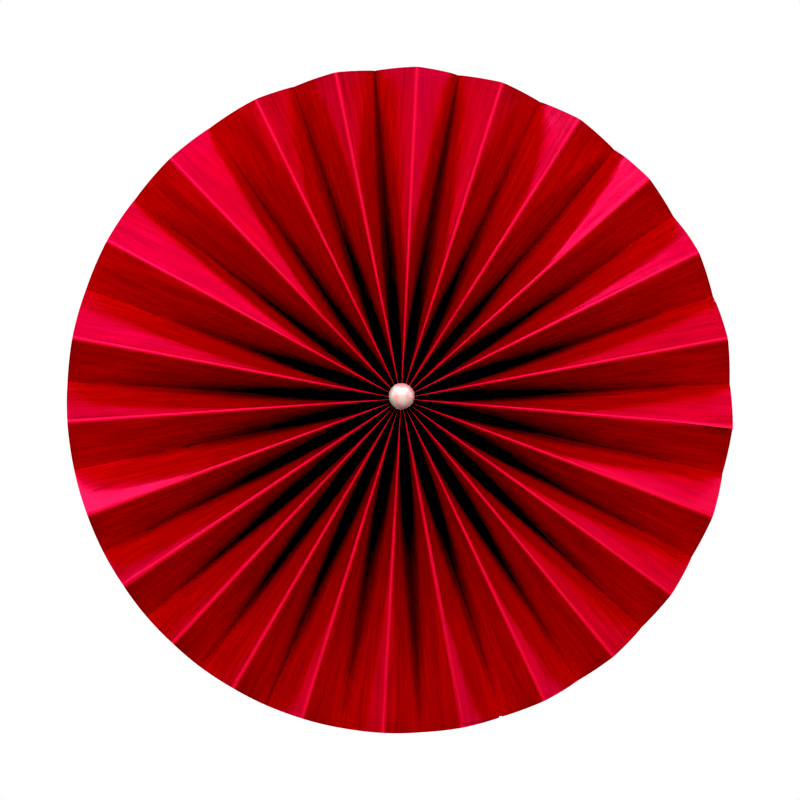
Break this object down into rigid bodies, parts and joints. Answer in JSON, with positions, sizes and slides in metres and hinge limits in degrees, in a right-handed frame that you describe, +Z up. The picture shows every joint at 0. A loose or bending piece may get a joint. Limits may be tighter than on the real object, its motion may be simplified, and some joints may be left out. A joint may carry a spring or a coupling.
{
  "type": "paper fan rosette",
  "caption": "Round wall rosette of folded red card: accordion pleats fan out from a pearl bead in the middle to a scalloped rim.",
  "frame": {"origin": "middle of the back face, at the rear of the backing disc", "axes": "-Y is the way the face looks, +Z is up and +X is to the right as the face is seen"},
  "size_m": [0.3048, 0.0383, 0.3046],
  "materials": {
    "red_card": "satin",
    "tape": "matte",
    "glue": "satin",
    "backing_card": "matte",
    "pearl": "pearl"
  },
  "bodies": {
    "root": {"paper_sheet_1": "red_card", "paper_sheet_2": "red_card", "paper_sheet_3": "red_card", "paper_sheet_4": "red_card", "paper_sheet_5": "red_card", "seam_tape_1": "tape", "seam_tape_2": "tape", "seam_tape_3": "tape", "seam_tape_4": "tape", "seam_tape_5": "tape", "glue_plug": "glue", "back_disc": "backing_card", "pearl_bead": "pearl"}
  },
  "joints": []
}
